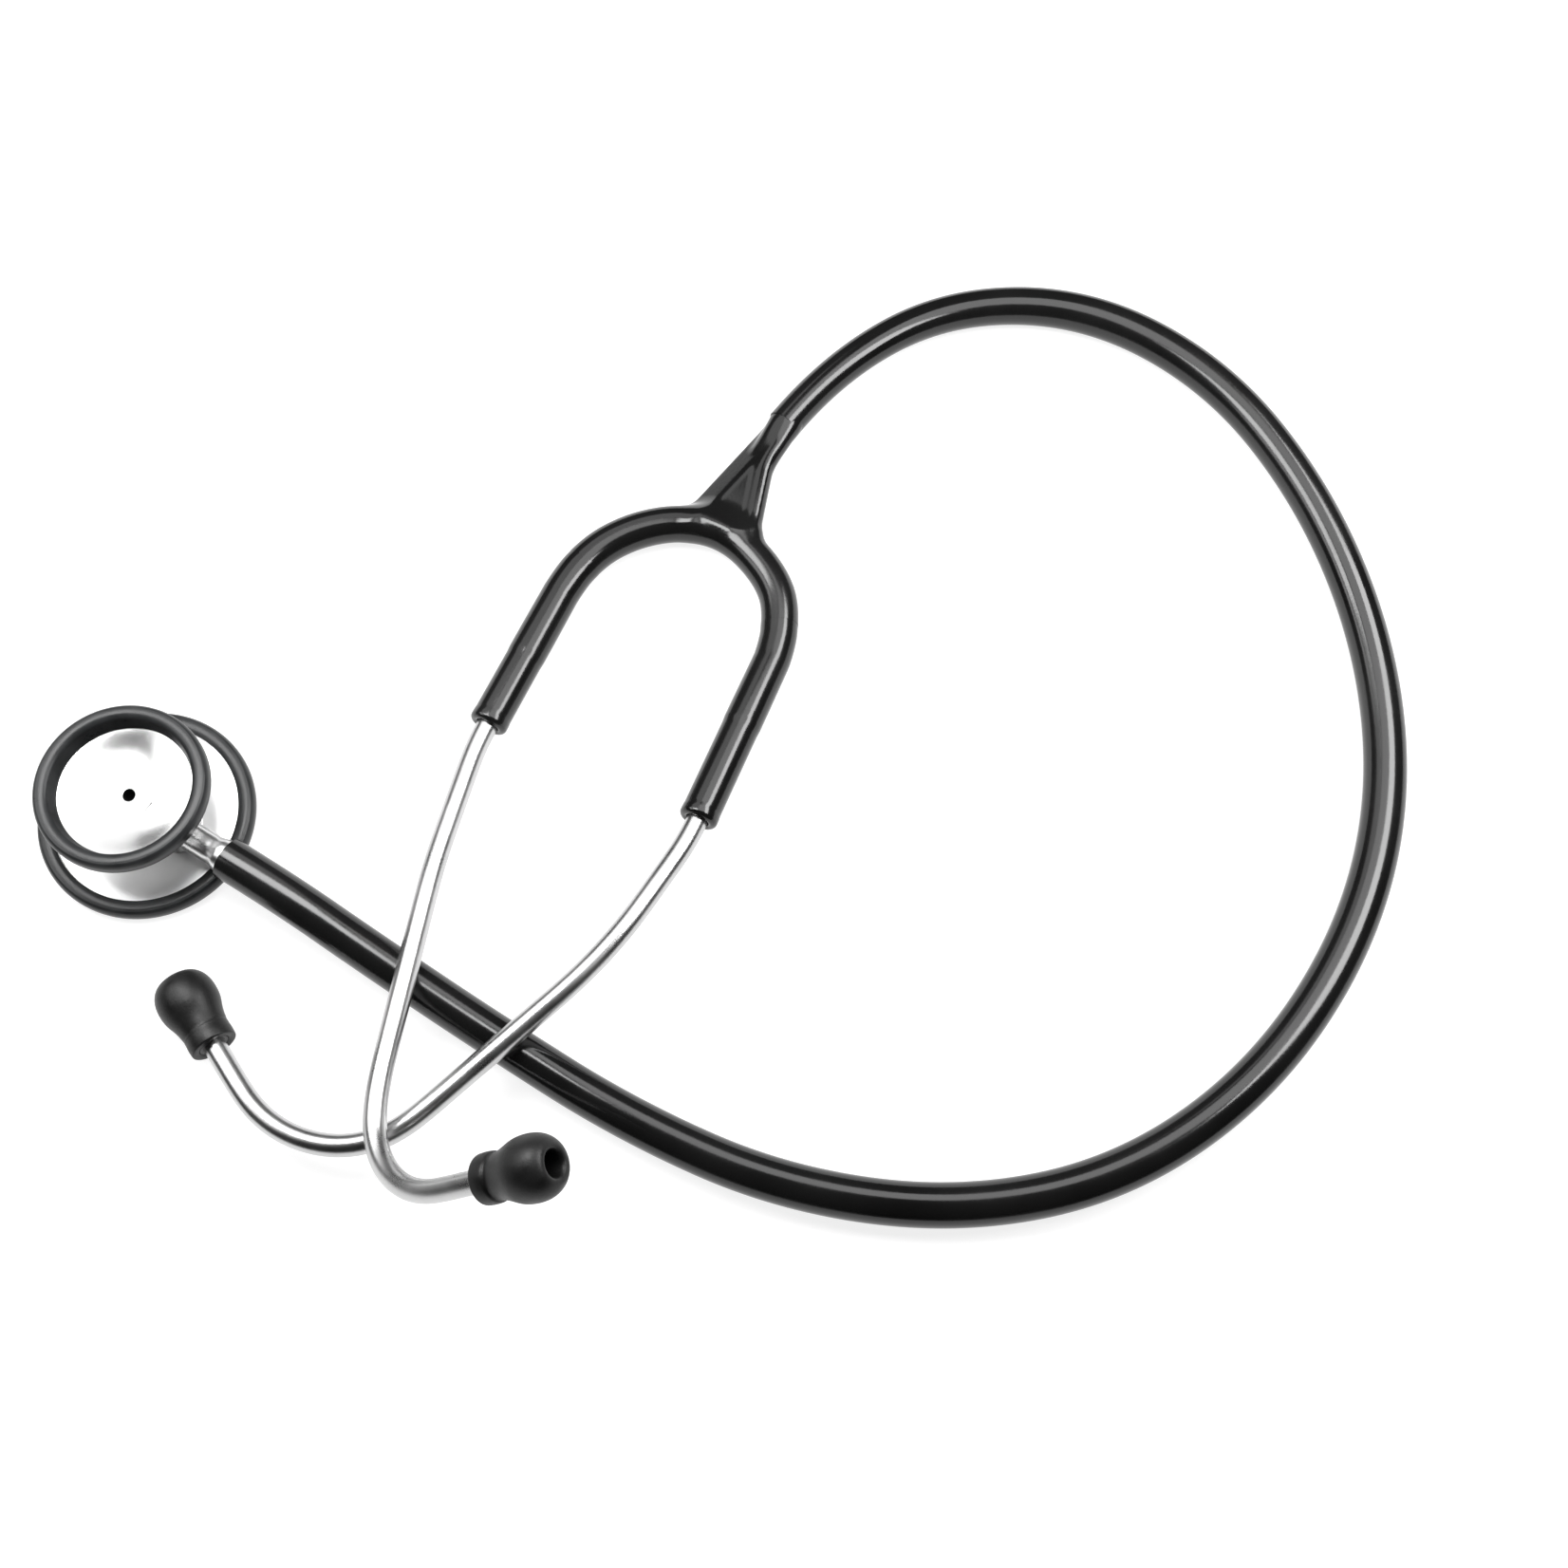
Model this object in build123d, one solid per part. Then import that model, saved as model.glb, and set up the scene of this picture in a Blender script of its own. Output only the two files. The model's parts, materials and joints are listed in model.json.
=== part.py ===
from build123d import *
import os
from math import cos, pi, radians, sin, tan

# Acoustic stethoscope with a double head, lying on a table.
# Millimetres. The origin is the centre of the diaphragm's face, which lies on the table (Z = 0).
# +X runs from the head towards the loop of the tube, +Y towards the yoke, +Z up.

# --- driving dimensions: the head, turned about Z -----------------------------------------
RING_R = 24.0               # outer radius of the diaphragm's non-chill ring
RING_TOP = 4.5              # height of that ring
RING_LIP_R = 20.4           # inner radius of its top lip
PLATE_R = 22.4              # radius of the housing under the ring
DIAPHRAGM_FACE_R = 19.5     # flat face that lies on the skin
DIAPHRAGM_R = 22.2
DIAPHRAGM_T = 0.35
DIAPHRAGM_STEP = 0.62       # how far its clamped edge stands back from the face
BELL_R = 18.7               # outer radius of the bell's non-chill ring
BELL_LIP_R = 15.2           # inner radius of that ring
BELL_TOP = 21.8             # highest point of the head
BELL_RIM_R = 17.2           # radius of the bell's metal rim under its ring
BELL_RIM_Z = 21.0
BOWL_Z = 15.0               # lowest point of the bell's bowl
NECK_R = 7.2
PORT_R = 1.25               # sound hole at the centre of the head
PORT_START = 2.0            # it is drilled from inside the housing up through the bowl
PORT_LENGTH = 15.0
FIT = 0.05                  # radial clearance of parts that fit over or turn in each other

# --- the stem ------------------------------------------------------------------------------
STEM_ANGLE = -31.0          # direction of the stem in the XY plane, degrees from +X
STEM_Z = 10.0               # height of the stem's axis
STEM_BOSS_R = 5.0
STEM_BOSS_END = 14.5        # the boss ends here, measured from the head's axis
SHANK_R = 2.6               # part of the stem that turns in the head
SHANK_START = -3.0
SHANK_PLAY = 0.2            # end play of the shank in its blind bore
SHOULDER_GAP = 0.3          # between the boss and the part of the stem that shows
COLLAR_LENGTH = 1.4         # collar that the tube butts against
COLLAR_STEP = 0.5
STEM_R = 3.3                # part of the stem that shows
STEM_BORE_R = 1.5
TUBE_START = 24.6           # the tube meets the stem's shoulder here
SPIGOT_R = 2.55             # part of the stem inside the tube
SPIGOT_LENGTH = 8.0
BARB_R = 2.75
BARB_START = 3.0            # measured from the shoulder
BARB_LENGTH = 3.0
WALL = 1.2                  # thickness left at the closed end of the shank
SIDE_PORT_R = 1.2
OVERCUT = 1.0               # how far a cutter runs past the face that it cuts

# --- the detent that clicks the head at bell and at diaphragm -------------------------------
DETENT_S = 8.0              # its distance from the head's axis, along the stem
BALL_R = 0.9
BALL_DROP = 3.0             # its centre, below the stem's axis
GROOVE_R = 1.9
GROOVE_W = 2.4
SPRING_R = 0.62
SPRING_WIRE_R = 0.13
SCREW_R = 1.2
SCREW_Z = (2.75, 4.25)
SCREW_SLOT = (0.4, 0.5)     # width and depth
WELL_FLOOR = 1.5            # the well is drilled up from here, and the screw closes it
SPRING_TURNS = 3
SPRING_PLAY = 0.03          # gap at each end of the spring
O_RING_S = 11.6
O_RING_WIRE_R = 0.42
O_RING_OUTER_R = 2.62
O_RING_SEAT_R = 1.75

# --- tubing --------------------------------------------------------------------------------
TUBE_R = 4.7                # outer radius of the main tube
TUBE_BORE_R = 2.5
SLEEVE_R = 4.3              # outer radius of the yoke's arms
YOKE_Z = 4.5                # height of the yoke's centreline
BORE_R = 2.45               # bore of the yoke and its sleeves
HINGE_SEAT_R = 5.0          # hollow in the yoke's ends, round each arm's ball end

# Route of the main tube, from the stem to the yoke. It lies on the table from the fourth point on.
TUBE_ROUTE = [
    (21.1, -12.7, 10.0),
    (34.0, -20.5, 10.0),
    (53.0, -32.0, 7.4),
    (78.0, -48.8, TUBE_R),
    (108.0, -68.6, TUBE_R),
    (141.0, -83.2, TUBE_R),
    (177.0, -88.0, TUBE_R),
    (212.0, -80.6, TUBE_R),
    (242.0, -60.6, TUBE_R),
    (264.5, -30.5, TUBE_R),
    (276.5, 3.0, TUBE_R),
    (277.0, 41.0, TUBE_R),
    (267.0, 78.0, TUBE_R),
    (247.0, 110.0, TUBE_R),
    (216.0, 130.4, TUBE_R),
    (181.0, 130.6, TUBE_R),
    (153.5, 113.5, TUBE_R),
    (141.2, 97.3, TUBE_R),
]

# --- the arms --------------------------------------------------------------------------------
LEFT_HINGE = (91.0, 55.6, YOKE_Z)
LEFT_SLEEVE_END = (74.9, 19.3, 6.8)
RIGHT_HINGE = (139.4, 38.6, YOKE_Z)
RIGHT_SLEEVE_END = (122.2, -3.8, 8.8)
EAR_TUBE_R = 2.4
EAR_TUBE_BORE_R = 1.8
EAR_TUBE_INSET = 6.0        # the ear tube's inner end lies this far past the hinge
SOCKET_R = 3.0
SOCKET_START = 5.0
SOCKET_LENGTH = 16.0
EXIT_RUN = 5.0              # the ear tube's first bend has its corner this far past the sleeve's end
LEFT_EAR_CORNERS = [(66.0, -14.0, 11.0), (58.9, -62.0, 17.2), (57.5, -88.3, 19.0)]
LEFT_EAR_RADII = [45.0, 150.0, 120.0, 19.0]
LEFT_TIP_BASE = (84.8, -85.3, 38.0)
RIGHT_EAR_CORNERS = [(104.0, -34.5, 12.6), (66.6, -68.5, 12.4), (56.0, -76.6, 10.8), (34.4, -71.2, 8.4)]
RIGHT_EAR_RADII = [48.0, 90.0, 60.0, 24.0, 27.0]
RIGHT_TIP_BASE = (21.8, -53.2, 7.3)

# --- eartips ---------------------------------------------------------------------------------
TIP_LENGTH = 17.6
TIP_COLLAR_R = 4.9
TIP_BULB_R = 6.6
TIP_CHANNEL_R = 1.4
TIP_MOUTH_R = 2.4
TIP_MOUTH_DEPTH = 3.0       # the sound channel flares over this depth
ADAPTER_R = 3.2
ADAPTER_LENGTH = 6.5
TIP_SOCKET_DEPTH = 7.2
TUBE_IN_TIP = 6.0

# --- leaf spring in the yoke -------------------------------------------------------------------
SPRING_T = 0.6
SPRING_H = 3.6

ARCH_ROUTE = [
    LEFT_HINGE,
    (95.6, 62.8, YOKE_Z),
    (106.0, 69.4, YOKE_Z),
    (118.0, 71.6, YOKE_Z),
    (129.2, 68.2, YOKE_Z),
    (138.0, 58.0, YOKE_Z),
    (141.0, 48.0, YOKE_Z),
    RIGHT_HINGE,
]
FORK = (135.4, 86.8, YOKE_Z)         # where the yoke's leg divides
LEG_R = 4.2
LEG_RUN = 5.5                        # the leg starts this far straight on from the main tube
LEFT_BRANCH = [FORK, (127.6, 78.8, YOKE_Z), (117.5, 71.0, YOKE_Z)]
RIGHT_BRANCH = [FORK, (134.2, 77.0, YOKE_Z), (133.6, 64.0, YOKE_Z)]
BRANCH_R = (3.5, 3.1)
BRANCH_BORE_R = (1.7, 1.5)
WEB_OUTLINE = [(135.6, 87.5), (126.5, 78.5), (118.0, 71.5), (129.0, 68.0), (133.6, 64.0), (134.4, 77.0)]
WEB_T = 3.6

STANDING = (Align.CENTER, Align.CENTER, Align.MIN)   # a solid that stands on its own origin

stem_dir = Vector(cos(radians(STEM_ANGLE)), sin(radians(STEM_ANGLE)), 0)
stem_origin = Vector(0, 0, STEM_Z)


# --- helpers -----------------------------------------------------------------------------------
def save(name, shape):
    """Write one node as parts/NAME.step."""
    shape.label = name
    export_step(shape, f"parts/{name}.step")


def turned(points, plane=Plane.XZ):
    """Turn an outline of (radius, height) points about the plane's own Y axis."""
    outline = plane * make_face(Polyline(*points, close=True))
    axis = Axis(plane.origin, plane.y_dir)
    return revolve(outline, axis)


def along(start, direction):
    """A plane at start whose Z axis points along direction."""
    return Plane(origin=start, z_dir=direction)


def rod(start, direction, begin, end, radius):
    """Cylinder on a line, from one distance along it to another."""
    axis = Vector(*direction).normalized()
    base = along(Vector(*start) + axis * begin, axis)
    return base * Cylinder(radius, end - begin, align=STANDING)


def stem_rod(begin, end, radius):
    """Cylinder about the stem's axis, from one distance from the head's axis to another."""
    return rod(stem_origin, stem_dir, begin, end, radius)


def corner_radii(route):
    """Largest tangent arc at each corner: 0.45 of the shorter run over tan of half the turn."""
    radii = []
    for before, here, after in zip(route, route[1:], route[2:]):
        run_in = Vector(*here) - Vector(*before)
        run_out = Vector(*after) - Vector(*here)
        half_turn = radians(run_in.get_angle(run_out) / 2)
        radii.append(0.45 * min(run_in.length, run_out.length) / tan(half_turn))
    return radii


def path_of(route, radii=None):
    return FilletPolyline(*route, radius=radii or corner_radii(route))


def swept(path, radius, bore=0.0):
    """Round bar or tube along a path."""
    section = Circle(radius)
    if bore:
        section -= Circle(bore)
    return sweep(along(path @ 0, path % 0) * section, path=path)


# --- head ----------------------------------------------------------------------------------------
def head_body():
    """Bell cup, neck, diaphragm housing and stem boss in one turned and bored casting."""
    lower = [(0, 2.6), (20.5, 1.3), (20.5, 1.0), (PLATE_R, 1.0), (PLATE_R, 3.0), (20.6, 3.35), (11.0, 5.0),
             (8.2, 6.2), (NECK_R, 8.2), (NECK_R, 11.4)]
    flare = [(8.6, 13.4), (11.6, 15.0), (14.8, 16.6), (16.4, 17.5)]
    rim = [(BELL_RIM_R, 18.6), (BELL_RIM_R, BELL_RIM_Z), (15.4, BELL_RIM_Z)]
    bowl = [(15.0, 19.6), (13.9, 17.9), (11.9, 16.7), (8.8, 15.8), (4.6, 15.2), (0, BOWL_Z)]
    body = turned(lower + flare + rim + bowl)
    body += stem_rod(0, STEM_BOSS_END, STEM_BOSS_R)
    body -= stem_rod(SHANK_START - SHANK_PLAY, STEM_BOSS_END + OVERCUT, SHANK_R + FIT)
    body -= Pos(0, 0, PORT_START) * Cylinder(PORT_R, PORT_LENGTH, align=STANDING)
    well = stem_dir * DETENT_S
    for radius, top in ((BALL_R, STEM_Z), (SCREW_R, SCREW_Z[1])):
        body -= Pos(well.X, well.Y, WELL_FLOOR) * Cylinder(radius + FIT, top - WELL_FLOOR, align=STANDING)
    return body


def bell_ring():
    gap_r = BELL_RIM_R + FIT
    gap_z = BELL_RIM_Z + FIT
    outer = [(gap_r, 17.6), (18.1, 17.6), (BELL_R, 18.3), (BELL_R, 20.7), (18.3, 21.4), (17.6, BELL_TOP)]
    inner = [(16.0, BELL_TOP), (BELL_LIP_R, 21.3), (BELL_LIP_R, gap_z), (gap_r, gap_z)]
    return turned(outer + inner)


def diaphragm():
    """Dished disc: its face lies on the table and its edge is clamped under the ring."""
    edge = DIAPHRAGM_STEP
    top = edge + DIAPHRAGM_T
    return turned([(0, 0), (DIAPHRAGM_FACE_R, 0), (DIAPHRAGM_FACE_R + 0.5, edge), (DIAPHRAGM_R, edge),
                   (DIAPHRAGM_R, top), (DIAPHRAGM_FACE_R + 0.1, top), (DIAPHRAGM_FACE_R - 0.4, DIAPHRAGM_T),
                   (0, DIAPHRAGM_T)])


def diaphragm_ring():
    gap_r = PLATE_R + FIT
    return turned([(20.2, 0.15), (22.6, 0.15), (23.6, 0.6), (RING_R, 1.4), (RING_R, 3.3), (23.5, 4.1),
                   (22.7, RING_TOP), (21.2, RING_TOP), (RING_LIP_R, 4.1), (RING_LIP_R, 3.5), (gap_r, 3.1),
                   (gap_r, 0.57), (20.2, 0.57)])


def detent():
    """Ball, spring and grub screw, upright in the head below the stem."""
    well = stem_dir * DETENT_S
    ball_z = STEM_Z - BALL_DROP
    ball = Pos(well.X, well.Y, ball_z) * Sphere(BALL_R)
    room = ball_z - BALL_R - SCREW_Z[1]
    coil_height = room - 2 * SPRING_WIRE_R - 2 * SPRING_PLAY
    coil = Helix(pitch=coil_height / SPRING_TURNS, height=coil_height, radius=SPRING_R)
    wire = sweep(along(coil @ 0, coil % 0) * Circle(SPRING_WIRE_R), path=coil)
    spring = Pos(well.X, well.Y, SCREW_Z[1] + SPRING_WIRE_R + SPRING_PLAY) * wire
    slot = Box(3 * SCREW_R, *SCREW_SLOT, align=STANDING)
    screw_height = SCREW_Z[1] - SCREW_Z[0]
    screw = Cylinder(SCREW_R, screw_height, align=STANDING) - slot
    return ball, spring, Pos(well.X, well.Y, SCREW_Z[0]) * screw


# --- stem --------------------------------------------------------------------------------------
def stem():
    """Hollow stem: shank with a side port, ball groove and seal groove, shoulder, barbed spigot."""
    shown_from = STEM_BOSS_END + SHOULDER_GAP
    body = stem_rod(SHANK_START, shown_from, SHANK_R)
    body += stem_rod(shown_from, TUBE_START, STEM_R)
    body += stem_rod(TUBE_START - COLLAR_LENGTH, TUBE_START, STEM_R + COLLAR_STEP)
    body += stem_rod(TUBE_START, TUBE_START + SPIGOT_LENGTH, SPIGOT_R)
    barb = along(stem_origin + stem_dir * (TUBE_START + BARB_START), stem_dir)
    body += barb * Cone(BARB_R, SPIGOT_R, BARB_LENGTH, align=STANDING)
    seal_width = 2.2 * O_RING_WIRE_R
    for middle, width, floor in ((DETENT_S, GROOVE_W, GROOVE_R), (O_RING_S, seal_width, O_RING_SEAT_R)):
        ring = stem_rod(middle - width / 2, middle + width / 2, SHANK_R + OVERCUT)
        body -= ring - stem_rod(middle - width / 2, middle + width / 2, floor)
    body -= stem_rod(SHANK_START + WALL, TUBE_START + SPIGOT_LENGTH + OVERCUT, STEM_BORE_R)
    side_port = Cylinder(SIDE_PORT_R, SHANK_R + OVERCUT, align=STANDING)
    body -= Pos(0, 0, STEM_Z - SHANK_R - OVERCUT) * side_port
    return body


def stem_o_ring():
    seat = along(stem_origin + stem_dir * O_RING_S, stem_dir)
    return seat * Torus(O_RING_OUTER_R - O_RING_WIRE_R, O_RING_WIRE_R)


# --- tubing -----------------------------------------------------------------------------------
def main_tube():
    path = path_of(TUBE_ROUTE)
    tube = swept(path, TUBE_R, TUBE_BORE_R)
    section = pi * (TUBE_R**2 - TUBE_BORE_R**2)
    print("main_tube corner radii", [round(r) for r in corner_radii(TUBE_ROUTE)])
    print(f"main_tube length {path.length:.1f}, volume / (section x length) "
          f"{tube.volume / (section * path.length):.4f}")
    return tube


def y_junction():
    """Moulded yoke: arch, two branches that meet in the leg, and the thin web between them."""
    arch = path_of(ARCH_ROUTE)
    left = path_of(LEFT_BRANCH)
    right = path_of(RIGHT_BRANCH)
    leg_top = Vector(*TUBE_ROUTE[-1])
    tube_dir = (leg_top - Vector(*TUBE_ROUTE[-2])).normalized()
    leg = path_of([leg_top, leg_top + tube_dir * LEG_RUN, FORK])
    body = swept(arch, SLEEVE_R)
    body += swept(left, BRANCH_R[0])
    body += swept(right, BRANCH_R[1])
    body += swept(leg, LEG_R)
    body += Pos(*FORK) * Sphere(LEG_R)
    web = make_face(Polyline(*WEB_OUTLINE, close=True))
    body += extrude(Pos(0, 0, YOKE_Z - WEB_T / 2) * web, WEB_T)
    body -= swept(arch, BORE_R)
    body -= swept(left, BRANCH_BORE_R[0])
    body -= swept(right, BRANCH_BORE_R[1])
    body -= swept(leg, BORE_R)
    body -= Pos(*LEFT_HINGE) * Sphere(HINGE_SEAT_R)
    body -= Pos(*RIGHT_HINGE) * Sphere(HINGE_SEAT_R)
    return body


def leaf_spring():
    """Flat steel strip on edge along the arch, inside its bore."""
    inner = []
    for here, beside in ((LEFT_HINGE, ARCH_ROUTE[1]), (RIGHT_HINGE, ARCH_ROUTE[-2])):
        step = (Vector(*beside) - Vector(*here)).normalized()
        inner.append(Vector(*here) + step * (HINGE_SEAT_R + 0.5))
    route = [inner[0]] + [Vector(*p) for p in ARCH_ROUTE[1:-1]] + [inner[1]]
    radii = corner_radii(ARCH_ROUTE)
    radii[0] = radii[0] / 4
    radii[-1] = radii[-1] / 4
    path = FilletPolyline(*route, radius=radii)
    start = Plane(origin=path @ 0, x_dir=(0, 0, 1), z_dir=path % 0)
    return sweep(start * Rectangle(SPRING_H, SPRING_T), path=path)


# --- arms -------------------------------------------------------------------------------------
def sleeve(hinge, end):
    """Rubber sleeve with a ball end at the hinge, bored for the socket and the ear tube."""
    line = Vector(*end) - Vector(*hinge)
    body = rod(hinge, line, 0, line.length, SLEEVE_R)
    body += Pos(*hinge) * Sphere(SLEEVE_R)
    body -= rod(hinge, line, -SLEEVE_R - 1, line.length + 1, BORE_R)
    body -= rod(hinge, line, SOCKET_START - FIT, SOCKET_START + SOCKET_LENGTH + FIT, SOCKET_R + FIT)
    lip = rod(hinge, line, line.length - 2.0, line.length, SLEEVE_R + 0.25)
    body += lip - rod(hinge, line, line.length - 3, line.length + 1, BORE_R)
    return body


def spring_socket(hinge, end):
    """Steel socket round the ear tube's inner end, where the leaf spring bears on it."""
    line = Vector(*end) - Vector(*hinge)
    body = rod(hinge, line, SOCKET_START, SOCKET_START + SOCKET_LENGTH, SOCKET_R)
    return body - rod(hinge, line, SOCKET_START - 1, SOCKET_START + SOCKET_LENGTH + 1, EAR_TUBE_R + 0.03)


def ear_tube(hinge, sleeve_end, corners, radii, tip_base):
    """Bent metal tube from inside the sleeve to inside the eartip."""
    start_dir = (Vector(*sleeve_end) - Vector(*hinge)).normalized()
    tip_dir = (Vector(*tip_base) - Vector(*corners[-1])).normalized()
    start = Vector(*hinge) + start_dir * EAR_TUBE_INSET
    exit_corner = Vector(*sleeve_end) + start_dir * EXIT_RUN
    end = Vector(*tip_base) + tip_dir * TUBE_IN_TIP
    path = FilletPolyline(start, exit_corner, *corners, end, radius=radii)
    return swept(path, EAR_TUBE_R, EAR_TUBE_BORE_R), tip_dir


def tip_adapter(tip_base, tip_dir):
    body = rod(tip_base, tip_dir, 0.3, 0.3 + ADAPTER_LENGTH, ADAPTER_R)
    body -= rod(tip_base, tip_dir, 0, TUBE_IN_TIP + 0.02, EAR_TUBE_R + 0.03)
    return body - rod(tip_base, tip_dir, 0, ADAPTER_LENGTH + 1, TIP_CHANNEL_R)


def eartip(tip_base, tip_dir):
    """Mushroom tip turned about the ear tube's end, with its socket and sound channel."""
    across = Vector(0, 0, 1).cross(tip_dir).normalized()
    plane = Plane(origin=tip_base, x_dir=across, z_dir=across.cross(tip_dir))
    collar = [(0, 0), (4.5, 0), (TIP_COLLAR_R, 0.5), (TIP_COLLAR_R, 3.0), (4.7, 3.7)]
    bulb = [(5.0, 5.2), (5.7, 8.0), (6.3, 10.4), (TIP_BULB_R, 12.4), (6.4, 14.2), (5.6, 16.0), (4.3, 17.2)]
    end = [(3.4, TIP_LENGTH), (0, TIP_LENGTH)]
    body = turned(collar + bulb + end, plane)
    body -= rod(tip_base, tip_dir, -1, TIP_SOCKET_DEPTH, ADAPTER_R + FIT)
    body -= rod(tip_base, tip_dir, 0, TIP_LENGTH + 1, TIP_CHANNEL_R)
    mouth = along(Vector(*tip_base) + tip_dir * (TIP_LENGTH - TIP_MOUTH_DEPTH), tip_dir)
    return body - mouth * Cone(TIP_CHANNEL_R, TIP_MOUTH_R, TIP_MOUTH_DEPTH + 0.01, align=STANDING)


def arm(side, hinge, sleeve_end, corners, radii, tip_base):
    tube, tip_dir = ear_tube(hinge, sleeve_end, corners, radii, tip_base)
    save(f"{side}_sleeve", sleeve(hinge, sleeve_end))
    save(f"{side}_spring_socket", spring_socket(hinge, sleeve_end))
    save(f"{side}_ear_tube", tube)
    save(f"{side}_tip_adapter", tip_adapter(tip_base, tip_dir))
    save(f"{side}_eartip", eartip(tip_base, tip_dir))
    print(f"{side} eartip axis", tuple(round(v, 4) for v in tip_dir))


# --- write the nodes ---------------------------------------------------------------------------
os.makedirs("parts", exist_ok=True)
save("head_body", head_body())
save("bell_ring", bell_ring())
save("diaphragm", diaphragm())
save("diaphragm_ring", diaphragm_ring())
for node, solid in zip(("detent_ball", "detent_spring", "detent_screw"), detent()):
    save(node, solid)
save("stem", stem())
save("stem_o_ring", stem_o_ring())
save("main_tube", main_tube())
save("y_junction", y_junction())
save("leaf_spring", leaf_spring())
arm("left", LEFT_HINGE, LEFT_SLEEVE_END, LEFT_EAR_CORNERS, LEFT_EAR_RADII, LEFT_TIP_BASE)
arm("right", RIGHT_HINGE, RIGHT_SLEEVE_END, RIGHT_EAR_CORNERS, RIGHT_EAR_RADII, RIGHT_TIP_BASE)
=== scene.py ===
import json
from math import cos, pi, radians, sin

import bmesh
import bpy
import numpy as np
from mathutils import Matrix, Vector


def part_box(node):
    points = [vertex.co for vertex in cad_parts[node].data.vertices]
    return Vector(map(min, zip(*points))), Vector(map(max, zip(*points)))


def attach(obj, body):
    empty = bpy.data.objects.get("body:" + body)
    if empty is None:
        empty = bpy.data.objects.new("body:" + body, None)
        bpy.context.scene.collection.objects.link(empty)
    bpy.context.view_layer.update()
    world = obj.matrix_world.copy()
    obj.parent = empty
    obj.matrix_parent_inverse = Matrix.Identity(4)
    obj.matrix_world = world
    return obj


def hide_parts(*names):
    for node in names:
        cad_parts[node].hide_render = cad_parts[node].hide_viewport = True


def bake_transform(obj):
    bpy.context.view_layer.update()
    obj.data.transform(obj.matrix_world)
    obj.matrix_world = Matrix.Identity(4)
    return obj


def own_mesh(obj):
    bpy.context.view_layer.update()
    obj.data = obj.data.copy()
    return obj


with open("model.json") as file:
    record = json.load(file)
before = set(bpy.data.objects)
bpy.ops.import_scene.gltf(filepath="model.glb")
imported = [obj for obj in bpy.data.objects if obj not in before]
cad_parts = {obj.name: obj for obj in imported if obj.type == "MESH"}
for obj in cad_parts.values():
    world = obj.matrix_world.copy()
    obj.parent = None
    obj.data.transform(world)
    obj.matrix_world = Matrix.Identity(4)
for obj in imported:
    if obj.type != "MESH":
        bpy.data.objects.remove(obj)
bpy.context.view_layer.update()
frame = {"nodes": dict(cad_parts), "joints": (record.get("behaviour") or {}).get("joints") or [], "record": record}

# Looks of an acoustic stethoscope. Metres, in the CAD model's frame.
MM = 0.001

# --- camera -------------------------------------------------------------------------------
CAMERA_AT = (0.1412, -0.1377, 0.4003)
CAMERA_TILT = 20.0            # degrees from straight down
FOCAL_IN_FRAMES = 2000 / 1652  # focal length as a share of the picture's width
SENSOR = 36.0

# --- the main tube's route, from the stem to the yoke ---------------------------------------
TUBE_R = 0.0047
TUBE_ROUTE = [
    (0.0211, -0.0127, 0.0100),
    (0.0340, -0.0205, 0.0100),
    (0.0522, -0.0326, 0.0074),
    (0.0778, -0.0491, TUBE_R),
    (0.1084, -0.0682, TUBE_R),
    (0.1410, -0.0824, TUBE_R),
    (0.1772, -0.0871, TUBE_R),
    (0.2114, -0.0802, TUBE_R),
    (0.2416, -0.0600, TUBE_R),
    (0.2640, -0.0300, TUBE_R),
    (0.2754, 0.0032, TUBE_R),
    (0.2759, 0.0404, TUBE_R),
    (0.2658, 0.0778, TUBE_R),
    (0.2461, 0.1103, TUBE_R),
    (0.2160, 0.1302, TUBE_R),
    (0.1814, 0.1308, TUBE_R),
    (0.1530, 0.1133, TUBE_R),
    (0.1412, 0.0973, TUBE_R),
]
TAPER = {-3: 0.94, -2: 0.87, -1: 0.87}   # share of the full radius at the route's last points
LEG_R = 0.0038                # the yoke's leg, where the tube goes into it
LEG_END_R = 0.0020

# --- yoke ----------------------------------------------------------------------------------
YOKE_Z = 0.0045
SLEEVE_R = 0.0043
ARCH_INNER = [(0.0956, 0.0628), (0.1060, 0.0694), (0.1180, 0.0716), (0.1292, 0.0682), (0.1380, 0.0580),
              (0.1410, 0.0480)]
LEG_RUN = 0.0090              # the leg runs this far straight on from the main tube
LEFT_BRANCH = [(0.1425, 0.1006), (0.1195, 0.0723)]
RIGHT_BRANCH = [(0.1435, 0.0980), (0.1413, 0.0943), (0.1364, 0.0862), (0.1354, 0.0810), (0.1333, 0.0690)]
BRANCH_R = (0.0030, 0.0030)
RIDGE_R = (0.0025, 0.0025)
RIDGE_LIFT = 0.0008           # the right branch stands up as a ridge beside the web
BEVEL_TILT = radians(35)      # the left branch's upper outer side is one flat bevel
BEVEL_OUT = 0.00080           # the bevel's distance from the branch's middle line
WEB = [(0.1400, 0.0960), (0.1215, 0.0728), (0.1290, 0.0690), (0.1345, 0.0690)]
WEB_T = 0.0053
CREASE = 0.0007               # how softly the limbs run into each other
LEG_FILLET = 0.0013
ARCH_FILLET = 0.0036          # and into the arch
VOXEL = 0.00045
LOWEST = 0.0001               # the moulding is flat where it rests on the table
CUT_BEFORE_HINGE = 0.0065     # the arms' skins begin here, measured along the arch
CUT_REACH = 0.014             # what is farther than this from a cut stays
SLEEVE_ENDS = {"left": (0.0749, 0.0193, 0.0068), "right": (0.1222, -0.0038, 0.0088)}
SOCKET_END = 0.021            # end of the metal socket inside, measured from the hinge
BORE_R = 0.00245

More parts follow.
